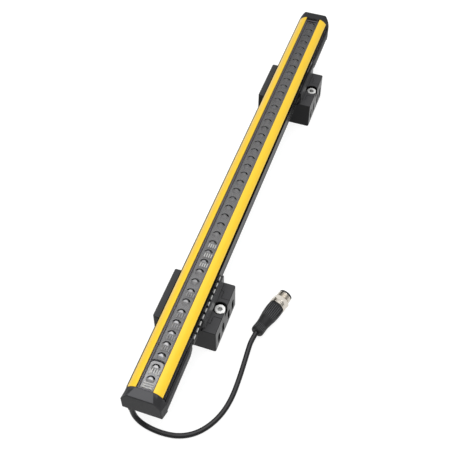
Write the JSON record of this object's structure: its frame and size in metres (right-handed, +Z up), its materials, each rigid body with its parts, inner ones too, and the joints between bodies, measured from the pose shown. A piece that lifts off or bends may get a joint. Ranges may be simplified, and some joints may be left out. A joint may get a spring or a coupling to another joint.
{
  "type": "safety light curtain",
  "caption": "Straight light curtain bar with a smoky lens window between yellow shoulders, swivel clamp brackets underneath and a short cable with a round screw connector.",
  "frame": {"origin": "middle of the mounting surface under the two brackets, halfway along the bar", "axes": "+Z up out of the window, the bar along Y with the cable end at -Y, +X towards the connector"},
  "size_m": [0.0967, 0.464, 0.053],
  "materials": {
    "aluminium_profile": "satin anodised",
    "yellow_plastic": "satin",
    "smoky_window": "gloss",
    "clear_lens": "gloss",
    "light_plastic": "satin",
    "charcoal_plastic": "fine matt",
    "black_plastic": "satin",
    "dark_plastic": "matt",
    "grip_plastic": "satin",
    "black_rubber": "matt",
    "green_board": "satin",
    "diode_plastic": "gloss",
    "chip_plastic": "matt",
    "zinc_steel": "bright zinc",
    "spring_steel": "polished",
    "nickel_metal": "nickel plated",
    "gold_contact": "gold plated"
  },
  "bodies": {
    "bar": {"housing_profile": "aluminium_profile", "yellow_strip_right": "yellow_plastic", "yellow_strip_left": "yellow_plastic", "front_window": "smoky_window", "window_seal": "black_rubber", "lens_strip": "clear_lens", "aperture_strip": "dark_plastic", "optics_carrier": "dark_plastic", "sensor_board": "green_board", "beam_diodes": "diode_plastic", "drive_chips": "chip_plastic", "light_guides": "clear_lens", "indicator_plate": "light_plastic", "edge_trim_right": "black_plastic", "edge_trim_left": "black_plastic", "power_board": "green_board", "capacitors": "chip_plastic", "near_end_cap": "charcoal_plastic", "far_end_cap": "charcoal_plastic", "near_end_sleeve": "charcoal_plastic", "far_end_sleeve": "charcoal_plastic", "near_end_gasket": "black_rubber", "far_end_gasket": "black_rubber", "end_screws": "zinc_steel", "near_bracket_base": "black_plastic", "far_bracket_base": "black_plastic", "near_cradle": "black_plastic", "far_cradle": "black_plastic", "toothed_spring_right": "spring_steel", "toothed_spring_left": "spring_steel", "clamp_jaws": "black_plastic", "clamp_screws": "zinc_steel", "clamp_nuts": "zinc_steel", "cable_outlet": "black_rubber", "cable": "black_rubber", "connector_grip": "grip_plastic", "contact_insert": "dark_plastic", "contact_pins": "gold_contact", "tip_ring": "dark_plastic"},
    "nut": {"coupling_nut": "nickel_metal"}
  },
  "joints": [
    {"name": "nut_turn", "type": "hinge", "parent": "bar", "child": "nut", "pos_m": [0.06092, -0.09762, 0.0073], "axis": [0.2706, 0.9627, 0], "continuous": true}
  ]
}
